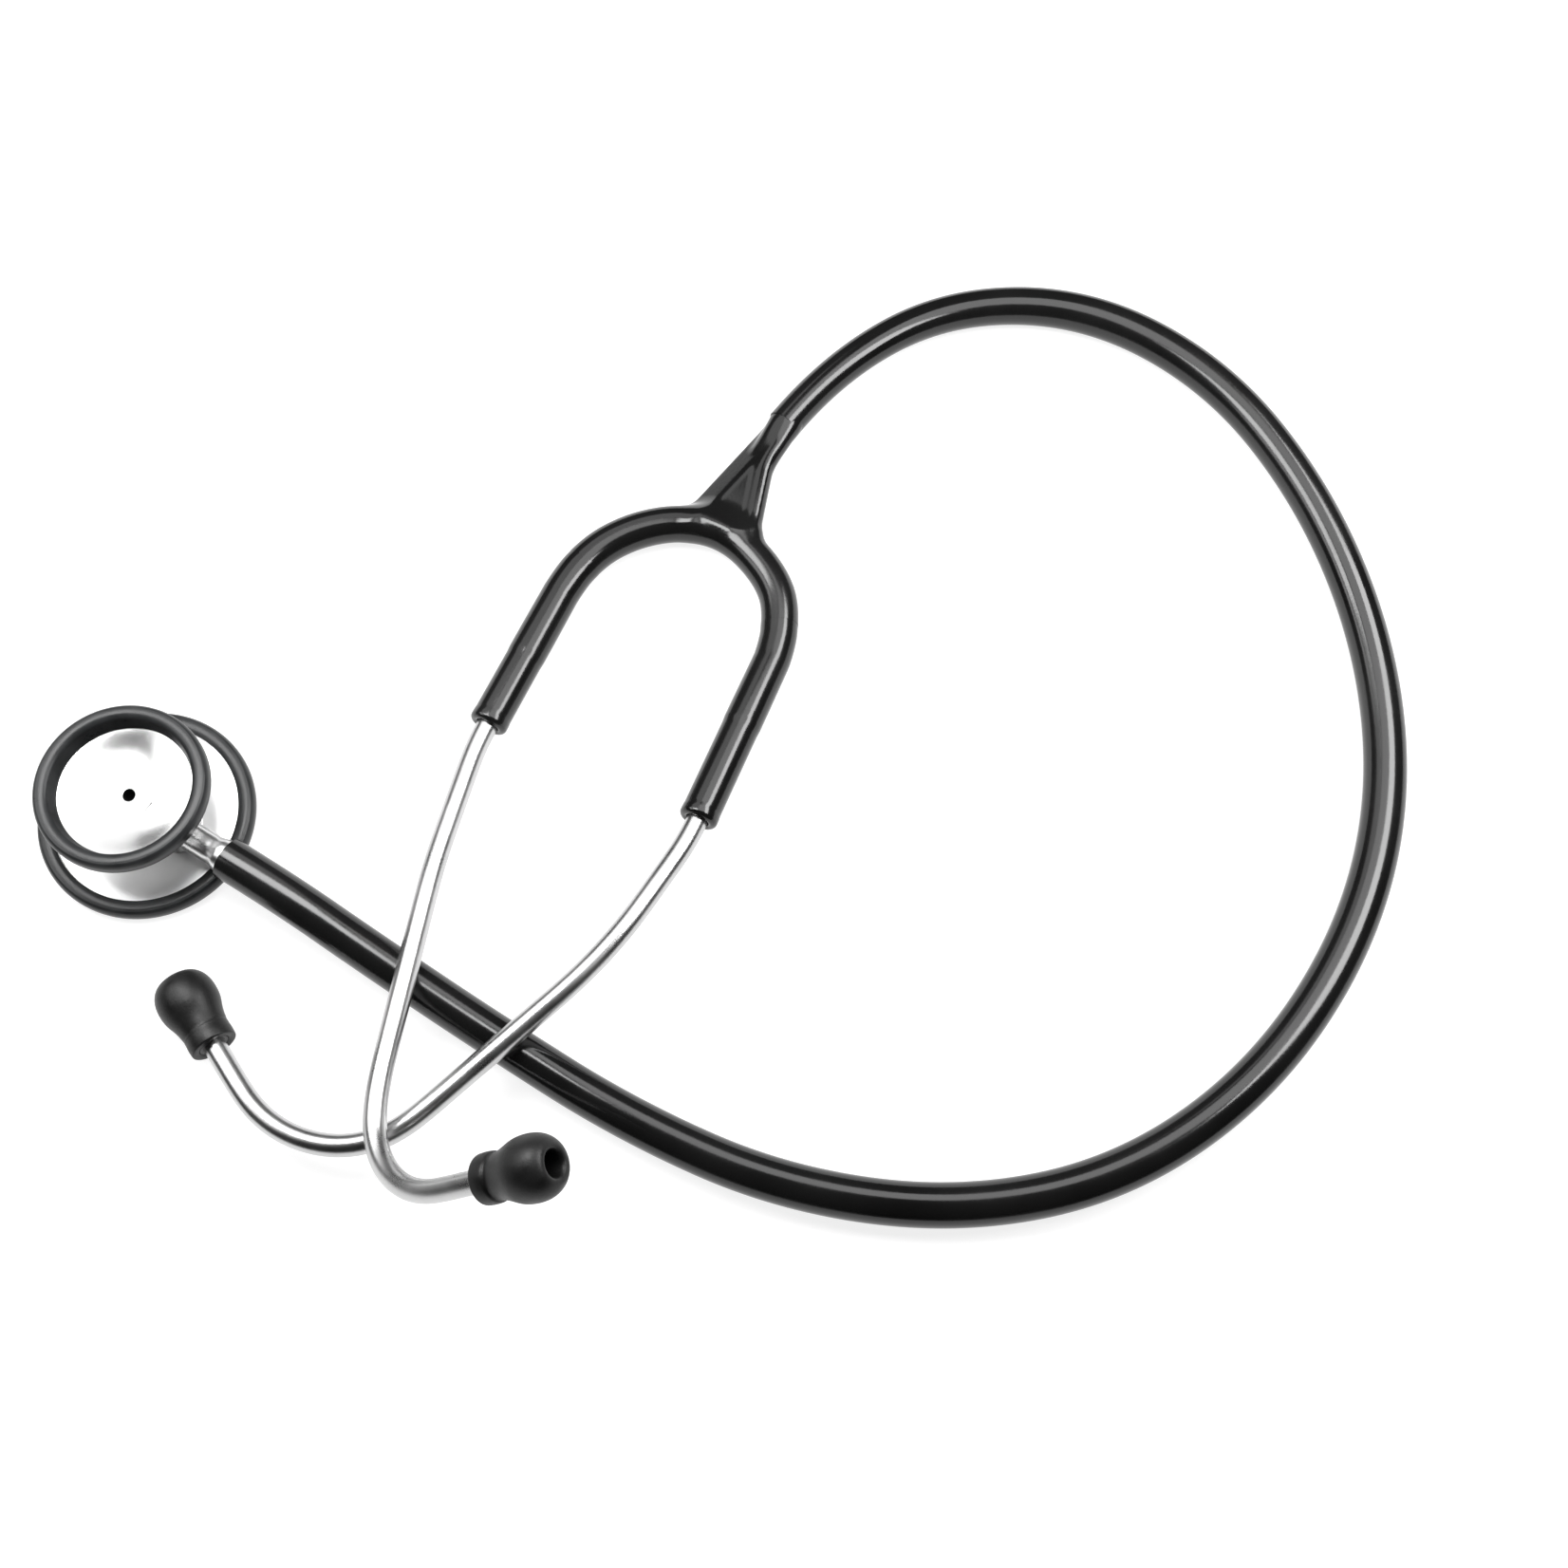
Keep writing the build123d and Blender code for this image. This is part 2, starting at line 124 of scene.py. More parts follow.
# --- ear tubes -----------------------------------------------------------------------------
EAR_TUBE_R = 0.0024
EAR_TUBE_BORE_R = 0.0018
EAR_TUBE_INSET = 0.006        # the tube begins this far past the hinge
EXIT_RUN = 0.005
TUBE_IN_TIP = 0.006
NEAREST = 0.00008             # points closer together than this are one
ARC_STEP = 0.01               # radians between points on a bend
LIP = 0.00025                 # rounding of a tube's outer edge
EAR_CORNERS = {
    "left": [(0.0660, -0.0140, 0.0110), (0.0589, -0.0620, 0.0172), (0.0575, -0.0883, 0.0190)],
    "right": [(0.1040, -0.0345, 0.0126), (0.0666, -0.0685, 0.0124), (0.0560, -0.0766, 0.0108),
              (0.0344, -0.0712, 0.0084)],
}
EAR_RADII = {"left": [0.045, 0.150, 0.090, 0.019], "right": [0.048, 0.090, 0.026, 0.024, 0.027]}
TIP_BASES = {"left": (0.0848, -0.0853, 0.0380), "right": (0.0218, -0.0532, 0.0073)}

# --- eartips -------------------------------------------------------------------------------
TIP_LENGTH = 0.0176
NECK_FILL = {"left": 0.0, "right": 0.38}   # mm; the right arm's tip tapers almost straight

# --- the detent's spring -------------------------------------------------------------------
COIL_WIRE_R = 0.00013
COIL_TURNS = 3

# --- head ----------------------------------------------------------------------------------
STEM_Z = 0.010
STEM_ANGLE = radians(-31)
STEM_DIRECTION = (cos(STEM_ANGLE), sin(STEM_ANGLE), 0)
TURNS = 224                   # faces round a turned piece
PLATE_TOP = 0.0066            # the plate round the neck is satin, from this height down
PLATE_INNER = 0.0075          # and from this radius out
SOUND_HOLE_R = 0.0014
BOWL_R = 0.0158               # the bowl's satin finish is inside this radius, in a darker copy of the chrome that is painted shade
BOWL_BOTTOM = 0.0149          # and above this height

# --- light --------------------------------------------------------------------------------
SOFTBOX_Z = 0.305
SOFTBOXES = {                 # middle, size and radiance
    "left_box": ((-0.025, 0.075), (0.21, 0.15), 13.0),
    "back_box": ((-0.05, 0.27), (0.34, 0.22), 1.6),
    "far_left_box": ((-0.30, 0.10), (0.24, 0.36), 4.0),
    "right_box": ((0.404, 0.107), (0.18, 0.30), 13.0),
    "middle_box": ((0.205, 0.110), (0.20, 0.22), 3.6),
}
WALL_SPAN = (-0.1, 0.9)       # how far towards +Y the room gets less dark
LEAST, MOST = 0.03, 0.78      # strengths of the world's own colour, which is left at a dark grey, 0.05
HORIZON_SPAN = (0.03, 0.22)   # the height over which the most falls off all round
TABLE_GLOW = 0.84
TABLE_HALF = 2.5

# --- materials ----------------------------------------------------------------------------
NOISE_SPAN = (0.3, 0.7)       # the values that noise mostly stays between
SMEAR_SHARE, GRAIN_SHARE = 0.75, 0.25   # in a surface's roughness
LATHE_PITCH = 0.00035
COAT_ROUGHNESS = 0.08


# --- mesh helpers -----------------------------------------------------------------------------
def add_mesh(name, points, faces, material):
    """A smooth mesh piece made of points in the row frame."""
    mesh = bpy.data.meshes.new(name)
    mesh.from_pydata([tuple(p) for p in points], [], faces)
    mesh.validate()
    work = bmesh.new()
    work.from_mesh(mesh)
    bmesh.ops.recalc_face_normals(work, faces=work.faces)
    work.to_mesh(mesh)
    work.free()
    mesh.polygons.foreach_set("use_smooth", [True] * len(mesh.polygons))
    mesh.materials.append(material)
    piece = bpy.data.objects.new(name, mesh)
    bpy.context.scene.collection.objects.link(piece)
    return piece


def line_through(route, steps=24, order=3):
    """Points along the smooth NURBS line that has the route as its control points."""
    curve = bpy.data.curves.new("line", "CURVE")
    curve.dimensions = "3D"
    spline = curve.splines.new("NURBS")
    spline.points.add(len(route) - 1)
    for point, place in zip(spline.points, route):
        point.co = (*place, 1.0)
    spline.order_u = order
    spline.use_endpoint_u = True
    spline.resolution_u = steps
    holder = bpy.data.objects.new("line", curve)
    mesh = bpy.data.meshes.new_from_object(holder)
    line = np.array([v.co for v in mesh.vertices], float)
    bpy.data.objects.remove(holder)
    bpy.data.curves.remove(curve)
    bpy.data.meshes.remove(mesh)
    return line


def lengths_along(line):
    return np.concatenate([[0], np.cumsum(np.linalg.norm(np.diff(line, axis=0), axis=1))])


def point_at(line, distance):
    """Point and direction at a distance along a line, which runs straight on past its ends."""
    along = lengths_along(line)
    i = int(np.clip(np.searchsorted(along, distance) - 1, 0, len(line) - 2))
    step = line[i + 1] - line[i]
    length = np.linalg.norm(step)
    return line[i] + step * (distance - along[i]) / length, step / length


def grid_faces(rows, columns, first_closed, last_closed):
    """Quads of a tube of rings, with a polygon over each end that is closed."""
    faces = []
    for r in range(rows - 1):
        for c in range(columns):
            d = (c + 1) % columns
            faces.append((r * columns + c, r * columns + d, (r + 1) * columns + d, (r + 1) * columns + c))
    if first_closed:
        faces.append(tuple(reversed(range(columns))))
    if last_closed:
        faces.append(tuple((rows - 1) * columns + c for c in range(columns)))
    return faces


def rings_along(name, line, stations, material, around=72, closed=(True, True)):
    """Skin of round rings: each station is a distance along the line and a radius."""
    points = []
    across = None
    for distance, radius in stations:
        centre, direction = point_at(line, distance)
        if across is None:
            across = np.cross(direction, (0, 0, 1))
        across = across - direction * (across @ direction)
        across /= np.linalg.norm(across)
        up = np.cross(across, direction)
        for k in range(around):
            a = 2 * pi * k / around
            points.append(centre + radius * (cos(a) * across + sin(a) * up))
    return add_mesh(name, points, grid_faces(len(stations), around, *closed), material)


def eased(profile, steps=7):
    """Profile of (radius, height, rounding) corners, each rounded by a curve that reaches that far."""
    made = []
    for i, (r, z, reach) in enumerate(profile):
        here = np.array((r, z))
        if reach == 0 or i in (0, len(profile) - 1):
            made.append(here)
            continue
        before = np.array(profile[i - 1][:2]) - here
        after = np.array(profile[i + 1][:2]) - here
        start = here + before * min(reach / np.linalg.norm(before), 0.5)
        end = here + after * min(reach / np.linalg.norm(after), 0.5)
        for t in np.linspace(0, 1, steps):
            made.append((1 - t)**2 * start + 2 * t * (1 - t) * here + t**2 * end)
    return made


def turned(name, profile, material, origin=(0, 0, 0), axis=(0, 0, 1), looped=False):
    """Turned piece: a profile in millimetres, turned about an axis through the origin given."""
    outline = eased(profile)
    turn = Vector(axis).to_track_quat("Z", "Y").to_matrix()
    points = []
    for r, z in outline:
        for k in range(TURNS):
            a = 2 * pi * k / TURNS
            points.append(Vector(origin) + turn @ (Vector((r * cos(a), r * sin(a), z)) * MM))
    faces = grid_faces(len(outline), TURNS, not looped, not looped)
    if looped:
        last = (len(outline) - 1) * TURNS
        faces += [(last + c, last + (c + 1) % TURNS, (c + 1) % TURNS, c) for c in range(TURNS)]
    return add_mesh(name, points, faces, material)


def paint(piece, material, where):
    """Gives the faces whose radius and height pass the test a second material."""
    piece.data.materials.append(material)
    index = len(piece.data.materials) - 1
    for face in piece.data.polygons:
        x, y, z = face.center
        if where((x * x + y * y)**0.5, z):
            face.material_index = index


# --- material helpers ---------------------------------------------------------------------------
def number(nodes, links, operation, a, b=None):
    """A math node's output; each input is a number or another output."""
    node = nodes.new("ShaderNodeMath")
    node.operation = operation
    for socket, value in zip(node.inputs, (a, b)):
        if value is None:
            continue
        if isinstance(value, (int, float)):
            socket.default_value = value
        else:
            links.new(value, socket)
    return node.outputs[0]


def noise(nodes, links, place, scale, detail=4.0):
    node = nodes.new("ShaderNodeTexNoise")
    node.inputs["Scale"].default_value = scale
    node.inputs["Detail"].default_value = detail
    links.new(place, node.inputs["Vector"])
    return node.outputs["Fac"]


def ranged(nodes, links, value, low, high, span=NOISE_SPAN, interpolation="LINEAR"):
    """Spreads an output's span, by default what noise covers, over a range."""
    node = nodes.new("ShaderNodeMapRange")
    node.interpolation_type = interpolation
    node.inputs["From Min"].default_value = span[0]
    node.inputs["From Max"].default_value = span[1]
    node.inputs["To Min"].default_value = low
    node.inputs["To Max"].default_value = high
    links.new(value, node.inputs["Value"])
    return node.outputs["Result"]


def bumped(nodes, links, height, strength, depth, under=None):
    node = nodes.new("ShaderNodeBump")
    node.inputs["Strength"].default_value = strength
    node.inputs["Distance"].default_value = depth
    links.new(height, node.inputs["Height"])
    if under is not None:
        links.new(under, node.inputs["Normal"])
    return node.outputs["Normal"]


def lathe_marks(nodes, links, place):
    """Waves that run outward from the row's Z axis."""
    parts = nodes.new("ShaderNodeSeparateXYZ")
    links.new(place, parts.inputs[0])
    square_x = number(nodes, links, "MULTIPLY", parts.outputs[0], parts.outputs[0])
    square_y = number(nodes, links, "MULTIPLY", parts.outputs[1], parts.outputs[1])
    radius = number(nodes, links, "SQRT", number(nodes, links, "ADD", square_x, square_y))
    return number(nodes, links, "SINE", number(nodes, links, "MULTIPLY", radius, 2 * pi / LATHE_PITCH))


def surface(name, dark, light, rough, metallic=0.0, broad=60.0, fine=900.0, fine_depth=0.00002,
            turned_marks=0.0, coat=0.0, ior=1.5):
    """Material whose colour, gloss and relief vary from place to place.

    dark and light are the ends of its colour, rough the ends of its roughness, broad and fine the scales of
    its smears and of its grain, and turned_marks the depth of lathe marks about the row's Z axis.
    """
    material = bpy.data.materials.new(name)
    material.use_nodes = True
    nodes, links = material.node_tree.nodes, material.node_tree.links
    shader = nodes["Principled BSDF"]
    place = nodes.new("ShaderNodeTexCoord").outputs["Object"]
    smears = noise(nodes, links, place, broad)
    grain = noise(nodes, links, place, fine, 6.0)
    ramp = nodes.new("ShaderNodeMix")
    ramp.data_type = "RGBA"
    ramp.inputs["A"].default_value = (*dark, 1)
    ramp.inputs["B"].default_value = (*light, 1)
    links.new(ranged(nodes, links, smears, 0.0, 1.0), ramp.inputs["Factor"])
    links.new(ramp.outputs["Result"], shader.inputs["Base Color"])
    gloss = number(nodes, links, "ADD", number(nodes, links, "MULTIPLY", smears, SMEAR_SHARE),
                   number(nodes, links, "MULTIPLY", grain, GRAIN_SHARE))
    links.new(ranged(nodes, links, gloss, *rough), shader.inputs["Roughness"])
    normal = bumped(nodes, links, grain, 0.5, fine_depth)
    if turned_marks:
        marks = lathe_marks(nodes, links, place)
        normal = bumped(nodes, links, marks, 0.3, turned_marks, normal)
    links.new(normal, shader.inputs["Normal"])
    shader.inputs["Metallic"].default_value = metallic
    shader.inputs["IOR"].default_value = ior
    shader.inputs["Coat Weight"].default_value = coat
    shader.inputs["Coat Roughness"].default_value = COAT_ROUGHNESS
    return material


def grey(value, warm=0.0):
    return (value * (1 + warm), value, value * (1 - warm))


MATERIALS = {
    "tubing": surface("tubing_pvc", grey(0.0045), grey(0.0075), (0.11, 0.22), broad=45, fine=1400,
                      fine_depth=0.000012),
    "polished_metal": surface("chrome_plate", grey(0.80), grey(0.88), (0.04, 0.11), 1.0, broad=90, fine=2600,
                              fine_depth=0.000002, turned_marks=0.0000006),
    "stem_metal": surface("stem_plate", grey(0.72), grey(0.80), (0.24, 0.32), 1.0, broad=90, fine=2600,
                          fine_depth=0.000003),
    "satin_metal": surface("satin_plate", grey(0.74), grey(0.82), (0.32, 0.42), 1.0, broad=90, fine=2600,
                           fine_depth=0.000004, turned_marks=0.0000012),
    # the bowl's satin chrome, darker than the chrome plate: painted shade that dims its bright reflection
    "bowl_shaded_metal": surface("bowl_shaded_plate", grey(0.58), grey(0.66), (0.16, 0.25), 1.0, broad=90, fine=2600,
                          fine_depth=0.000003, turned_marks=0.0000008),
    # dark, rough metal for the inside of the sound hole: painted shade of the recess
    "bore_painted_shade": surface("bore_painted_shade_metal", grey(0.02), grey(0.05), (0.5, 0.7), 1.0, broad=300),
    "ear_tube_metal": surface("ear_tube_metal", grey(0.50), grey(0.58), (0.25, 0.33), 1.0, broad=120,
                              fine=3000, fine_depth=0.000004),
    "plain_steel": surface("plain_steel", grey(0.40), grey(0.58), (0.25, 0.45), 1.0, broad=300, fine=4000),
    "ring_rubber": surface("ring_rubber", grey(0.014, -0.04), grey(0.024, -0.04), (0.26, 0.38), broad=180,
                           fine=2600, fine_depth=0.00003, ior=1.37),
    "eartip_rubber": surface("eartip_rubber", grey(0.003), grey(0.007), (0.36, 0.50), broad=260, fine=2200,
                             fine_depth=0.00005, ior=1.39),
    "adapter_plastic": surface("adapter_plastic", grey(0.010), grey(0.020), (0.4, 0.55), broad=400),
    "diaphragm_film": surface("diaphragm_film", grey(0.70, 0.02), grey(0.82, 0.02), (0.18, 0.34), broad=500,
                              fine=1800, fine_depth=0.00003),
}


# --- camera -----------------------------------------------------------------------------------
def make_camera():
    """Camera tilted back from straight down, towards +Y."""
    data = bpy.data.cameras.new("camera")
    data.sensor_width = SENSOR
    data.lens = SENSOR * FOCAL_IN_FRAMES
    camera = bpy.data.objects.new("camera", data)
    camera.location = CAMERA_AT
    camera.rotation_euler = (radians(CAMERA_TILT), 0, 0)
    bpy.context.scene.collection.objects.link(camera)
    bpy.context.scene.camera = camera


# --- main tube ----------------------------------------------------------------------------------
def make_main_tube():
    """The tube as one cord, thinner where it runs into the yoke's leg."""
    curve = bpy.data.curves.new("main_tube_skin", "CURVE")
    curve.dimensions = "3D"
    spline = curve.splines.new("NURBS")
    spline.points.add(len(TUBE_ROUTE) - 1)
    for point, place in zip(spline.points, TUBE_ROUTE):
        point.co = (*place, 1.0)
    for index, share in TAPER.items():
        spline.points[index].radius = share
    spline.order_u = 3
    spline.use_endpoint_u = True
    spline.resolution_u = 40
    curve.bevel_depth = TUBE_R
    curve.bevel_resolution = 16
    curve.use_fill_caps = True
    curve.materials.append(MATERIALS["tubing"])
    tube = bpy.data.objects.new("main_tube_skin", curve)
    bpy.context.scene.collection.objects.link(tube)
    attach(tube, "root")
    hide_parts("main_tube")


# --- yoke -----------------------------------------------------------------------------------------
def joint(name):
    return next(j for j in frame["joints"] if j["name"] == name)


HINGES = {side: tuple(joint(f"{side}_arm_spread")["pos_m"]) for side in ("left", "right")}


def at_yoke(points, lift=0.0):
    return [(x, y, YOKE_Z + lift) for x, y in points]


def tube_field(points, line, radius_start, radius_end):
    """Distance of each point from a round limb that tapers along a line."""
    best = np.full(len(points), np.inf)
    along = lengths_along(line) / lengths_along(line)[-1]
    for a, b, share_a, share_b in zip(line[:-1], line[1:], along[:-1], along[1:]):
        step = b - a
        t = np.clip((points - a) @ step / (step @ step), 0, 1)
        radius = radius_start + (radius_end - radius_start) * (share_a + (share_b - share_a) * t)
        best = np.minimum(best, np.linalg.norm(points - a - t[:, None] * step, axis=1) - radius)
    return best


def smooth_min(a, b, reach):
    share = np.clip(0.5 + 0.5 * (b - a) / reach, 0, 1)
    return b + (a - b) * share - reach * share * (1 - share)


def bevel_field(points):
    """Distance of each point above the flat bevel along the left branch."""
    a, b = np.array(LEFT_BRANCH)
    outward = np.array((b[1] - a[1], a[0] - b[0])) / np.linalg.norm(b - a)
    across = (points[:, :2] - a) @ outward
    return across * sin(BEVEL_TILT) + (points[:, 2] - YOKE_Z) * cos(BEVEL_TILT) - BEVEL_OUT


def web_field(points, corners):
    """Distance of each point from the flat web that fills the triangle between the branches."""
    middle = np.mean(corners, axis=0)
    inside = np.full(len(points), -np.inf)
    for a, b in zip(corners, np.roll(corners, -1, axis=0)):
        normal = np.array((b[1] - a[1], a[0] - b[0]))
        normal /= np.linalg.norm(normal)
        if (middle - a) @ normal > 0:
            normal = -normal
        inside = np.maximum(inside, (points[:, :2] - a) @ normal)
    return np.maximum(inside, np.abs(points[:, 2] - YOKE_Z) - WEB_T / 2)


def yoke_lines():
    """Middle lines of the arch, the two branches and the leg."""
    arch = line_through([HINGES["left"], *at_yoke(ARCH_INNER), HINGES["right"]])
    left = np.array(at_yoke(LEFT_BRANCH))
    right = line_through(at_yoke(RIGHT_BRANCH, RIDGE_LIFT), 12)
    leg_top = Vector(TUBE_ROUTE[-1])
    onward = (leg_top - Vector(TUBE_ROUTE[-2])).normalized() * LEG_RUN
    leg = line_through([tuple(leg_top), tuple(leg_top + onward / 2), tuple(leg_top + onward)], 12)
    return arch, left, right, leg


def yoke_field(points, arch, left, right, leg):
    """Distance of each point from the whole moulding, with its limbs run into each other."""
    plate = smooth_min(tube_field(points, left, *BRANCH_R), web_field(points, np.array(WEB)), CREASE)
    plate = -smooth_min(-plate, -bevel_field(points), CREASE)
    limbs = smooth_min(plate, tube_field(points, right, *RIDGE_R), CREASE)
    limbs = smooth_min(limbs, tube_field(points, leg, LEG_R, LEG_END_R), LEG_FILLET)
    return smooth_min(limbs, tube_field(points, arch, SLEEVE_R, SLEEVE_R), ARCH_FILLET)


def web_block():
    """The web as a plain prism."""
    sides = len(WEB)
    points = [(x, y, YOKE_Z + z) for z in (-WEB_T / 2, WEB_T / 2) for x, y in WEB]
    faces = [tuple(range(sides)), tuple(range(sides, 2 * sides))]
    faces += [(k, (k + 1) % sides, sides + (k + 1) % sides, sides + k) for k in range(sides)]
    return add_mesh("block", points, faces, MATERIALS["tubing"])


def rough_yoke(arch, left, right, leg):
    """One skin of even faces over the limbs and the web."""
    blocks = []
    for line, radii in ((arch, (SLEEVE_R, SLEEVE_R)), (left, BRANCH_R), (right, RIDGE_R),
                        (leg, (LEG_R, LEG_END_R))):
        total = lengths_along(line)[-1]
        stations = [(s, np.interp(s, (0, total), radii)) for s in np.linspace(0, total, 60)]
        blocks.append(rings_along("block", line, stations, MATERIALS["tubing"], 24))
    blocks.append(web_block())
    with bpy.context.temp_override(active_object=blocks[0], selected_editable_objects=blocks):
        bpy.ops.object.join()
    yoke = blocks[0]
    yoke.name = "yoke_skin"
    remesh = yoke.modifiers.new("remesh", "REMESH")
    remesh.mode = "VOXEL"
    remesh.voxel_size = VOXEL
    smooth = yoke.modifiers.new("smooth", "SMOOTH")
    smooth.iterations = 8
    dg = bpy.context.evaluated_depsgraph_get()
    mesh = bpy.data.meshes.new_from_object(yoke.evaluated_get(dg))
    yoke.modifiers.clear()
    yoke.data = mesh
    return yoke


def make_yoke():
    """Arch, branches, leg and web as one smooth moulding, up to where the arms' skins begin."""
    lines = yoke_lines()
    arch = lines[0]
    yoke = rough_yoke(*lines)
    mesh = yoke.data
    settle(mesh, lambda points: yoke_field(points, *lines))
    for line in (arch, arch[::-1]):
        place, direction = point_at(line, CUT_BEFORE_HINGE)
        cut_end(mesh, place, -direction)
    mesh.polygons.foreach_set("use_smooth", [True] * len(mesh.polygons))
    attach(yoke, "root")
    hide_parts("y_junction")
    return arch


def settle(mesh, field, rounds=5):
    """Moves each vertex onto the field's surface."""
    points = np.array([v.co for v in mesh.vertices], float)
    small = 0.02 * MM
    for _ in range(rounds):
        value = field(points)
        slope = np.stack([(field(points + small * axis) - value) / small for axis in np.eye(3)], axis=1)
        size = np.maximum((slope**2).sum(1), 0.2)
        points -= (np.clip(value, -MM, MM) / size)[:, None] * slope
    points[:, 2] = np.maximum(points[:, 2], LOWEST)
    mesh.vertices.foreach_set("co", points.ravel())
    mesh.update()


def cut_end(mesh, place, outward):
    """Removes what lies past a plane, near that place only."""
    work = bmesh.new()
    work.from_mesh(mesh)
    near = [f for f in work.faces if (f.calc_center_median() - Vector(place)).length < CUT_REACH]
    parts = near + list({e for f in near for e in f.edges}) + list({v for f in near for v in f.verts})
    bmesh.ops.bisect_plane(work, geom=parts, plane_co=place, plane_no=outward)
    past = [v for v in work.verts if (v.co - Vector(place)).length < CUT_REACH
            and (v.co - Vector(place)).dot(Vector(outward)) > 1e-6]
    bmesh.ops.delete(work, geom=past, context="VERTS")
    work.to_mesh(mesh)
    work.free()


def arm_stations(end, length):
    """Distance and radius of each ring of an arm's skin, from the arch to inside the lip.

    end is where its line ends, and length how far that is past the hinge.
    """
    hinge_at = end - length
    start = 9.0 * MM - CUT_BEFORE_HINGE - 0.6 * MM
    thick, thin, lip = SLEEVE_R + 0.06 * MM, SLEEVE_R - 0.05 * MM, SLEEVE_R + 0.05 * MM
    step = hinge_at + SOCKET_END
    stations = [(start, SLEEVE_R - 0.03 * MM), (start + 0.6 * MM, SLEEVE_R - 0.01 * MM)]
    stations += [(s, SLEEVE_R) for s in np.linspace(start + 1.0 * MM, hinge_at + 3 * MM, 36)]
    stations += [(s, np.interp(s, (hinge_at + 3 * MM, step - 6 * MM), (SLEEVE_R, thick)))
                 for s in np.linspace(hinge_at + 3.5 * MM, step - 1.3 * MM, 36)]
    stations += [(step + t * MM, thick + (thin - thick) * (0.5 + 0.5 * sin(pi * t / 2.4)))
                 for t in np.linspace(-1.1, 1.2, 12)]
    stations += [(s, thin) for s in np.linspace(step + 1.6 * MM, end - 3.4 * MM, 24)]
    stations += [(end - 3.4 * MM + t * MM, thin + (lip - thin) * (0.5 - 0.5 * cos(pi * t / 1.6)))
                 for t in np.linspace(0.2, 1.6, 8)]
    edge = 1.1 * MM
    stations += [(end - edge + edge * sin(a), lip - edge + edge * cos(a))
                 for a in np.linspace(0, pi / 2, 9)]
    mouth = BORE_R + 0.35 * MM
    stations += [(end, mouth + 0.3 * MM), (end - 0.08 * MM, mouth), (end - 0.35 * MM, BORE_R + 0.05 * MM)]
    return stations + [(end - 1.5 * MM, BORE_R), (end - 4.0 * MM, BORE_R)]


def make_arm_skin(side, arch):
    """The yoke's arm: from the arch, over the hinge, to the lip where the ear tube comes out."""
    from_arch = arch if side == "right" else arch[::-1]
    total = lengths_along(from_arch)[-1]
    hinge = np.array(HINGES[side])
    line_dir = np.array(SLEEVE_ENDS[side]) - hinge
    length = np.linalg.norm(line_dir)
    line_dir /= length
    back = [point_at(from_arch, total - d)[0] for d in (9.0 * MM, 6.0 * MM, 3.0 * MM)]
    ahead = [hinge + line_dir * d for d in (2.0 * MM, 5.0 * MM, 12.0 * MM)]
    line = line_through([*back, *ahead, hinge + line_dir * length])
    end = lengths_along(line)[-1]
    skin = rings_along(f"{side}_arm_skin", line, arm_stations(end, length), MATERIALS["tubing"],
                       closed=(False, False))
    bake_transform(skin)
    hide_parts(f"{side}_sleeve")


# --- ear tubes -------------------------------------------------------------------------------------
def filleted(route, radii):
    """Points along straight runs joined by arcs of the radii given."""
    points = [route[0]]
    for before, here, after, radius in zip(route, route[1:], route[2:], radii):
        into = (here - before) / np.linalg.norm(here - before)
        out = (after - here) / np.linalg.norm(after - here)
        turn = float(np.arccos(into @ out))
        side = out - into * (into @ out)
        side /= np.linalg.norm(side)
        centre = here - into * radius * np.tan(turn / 2) + side * radius
        for a in np.linspace(0, turn, int(turn / ARC_STEP) + 3):
            points.append(centre - side * radius * cos(a) + into * radius * sin(a))
    kept = [points[0]]
    for point in points[1:] + [route[-1]]:
        if np.linalg.norm(point - kept[-1]) > NEAREST:
            kept.append(point)
    return np.array(kept)


def evened(line, rounds=14):
    """The same line at even steps of about a millimetre, with its bends run into each other."""
    total = lengths_along(line)[-1]
    even = np.array([point_at(line, s)[0] for s in np.linspace(0, total, int(total / MM) + 1)])
    for _ in range(rounds):
        even[1:-1] = 0.5 * even[1:-1] + 0.25 * (even[:-2] + even[2:])
    return even


def make_ear_tube(side):
    """Bent metal tube from inside the arm to inside the eartip, bored a little way from that end."""
    hinge, exit_end = np.array(HINGES[side]), np.array(SLEEVE_ENDS[side])
    onward = (exit_end - hinge) / np.linalg.norm(exit_end - hinge)
    corners = [np.array(c) for c in EAR_CORNERS[side]]
    base = np.array(TIP_BASES[side])
    tip_dir = (base - corners[-1]) / np.linalg.norm(base - corners[-1])
    route = [hinge + onward * EAR_TUBE_INSET, exit_end + onward * EXIT_RUN, *corners,
             base + tip_dir * TUBE_IN_TIP]
    line = evened(filleted(route, EAR_RADII[side]))
    total = lengths_along(line)[-1]
    stations = [(s, EAR_TUBE_R) for s in np.arange(0, total - LIP, MM)]
    stations += [(total - LIP, EAR_TUBE_R), (total - 0.07 * MM, EAR_TUBE_R - 0.07 * MM),
                 (total, EAR_TUBE_R - LIP)]
    stations += [(total, EAR_TUBE_BORE_R + 0.1 * MM), (total - 0.1 * MM, EAR_TUBE_BORE_R),
                 (total - 9 * MM, EAR_TUBE_BORE_R)]
    tube = rings_along(f"{side}_ear_tube_skin", line, stations, MATERIALS["ear_tube_metal"], 56)
    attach(tube, f"{side}_arm")
    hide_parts(f"{side}_ear_tube")


